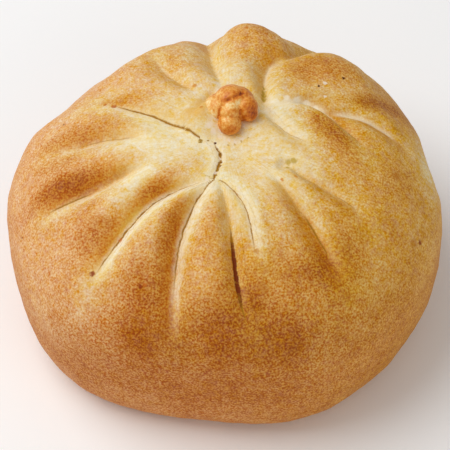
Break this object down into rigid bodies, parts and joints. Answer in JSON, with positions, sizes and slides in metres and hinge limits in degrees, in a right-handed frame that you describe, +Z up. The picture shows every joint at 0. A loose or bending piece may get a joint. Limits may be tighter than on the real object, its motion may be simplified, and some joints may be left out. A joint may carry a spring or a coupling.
{
  "type": "meat pie",
  "caption": "Round pleated meat pie, uncut: a browned dough dome with a flat underside, gathered into uneven pleats and closed at the crown with a small lobed knob of dough.",
  "frame": {"origin": "centre of the flat underside, on the surface the pie stands on", "axes": "+Z up; -Y is the front, where the deepest pleats run down; the knob lies a little behind the centre, towards +Y"},
  "size_m": [0.1176, 0.1127, 0.0675],
  "materials": {
    "crust": "baked bread dough, matte with a faint egg sheen",
    "knob": "well browned bread dough, slightly glossier than the crust"
  },
  "bodies": {
    "root": {"crust": "crust", "knob": "knob"}
  },
  "joints": []
}
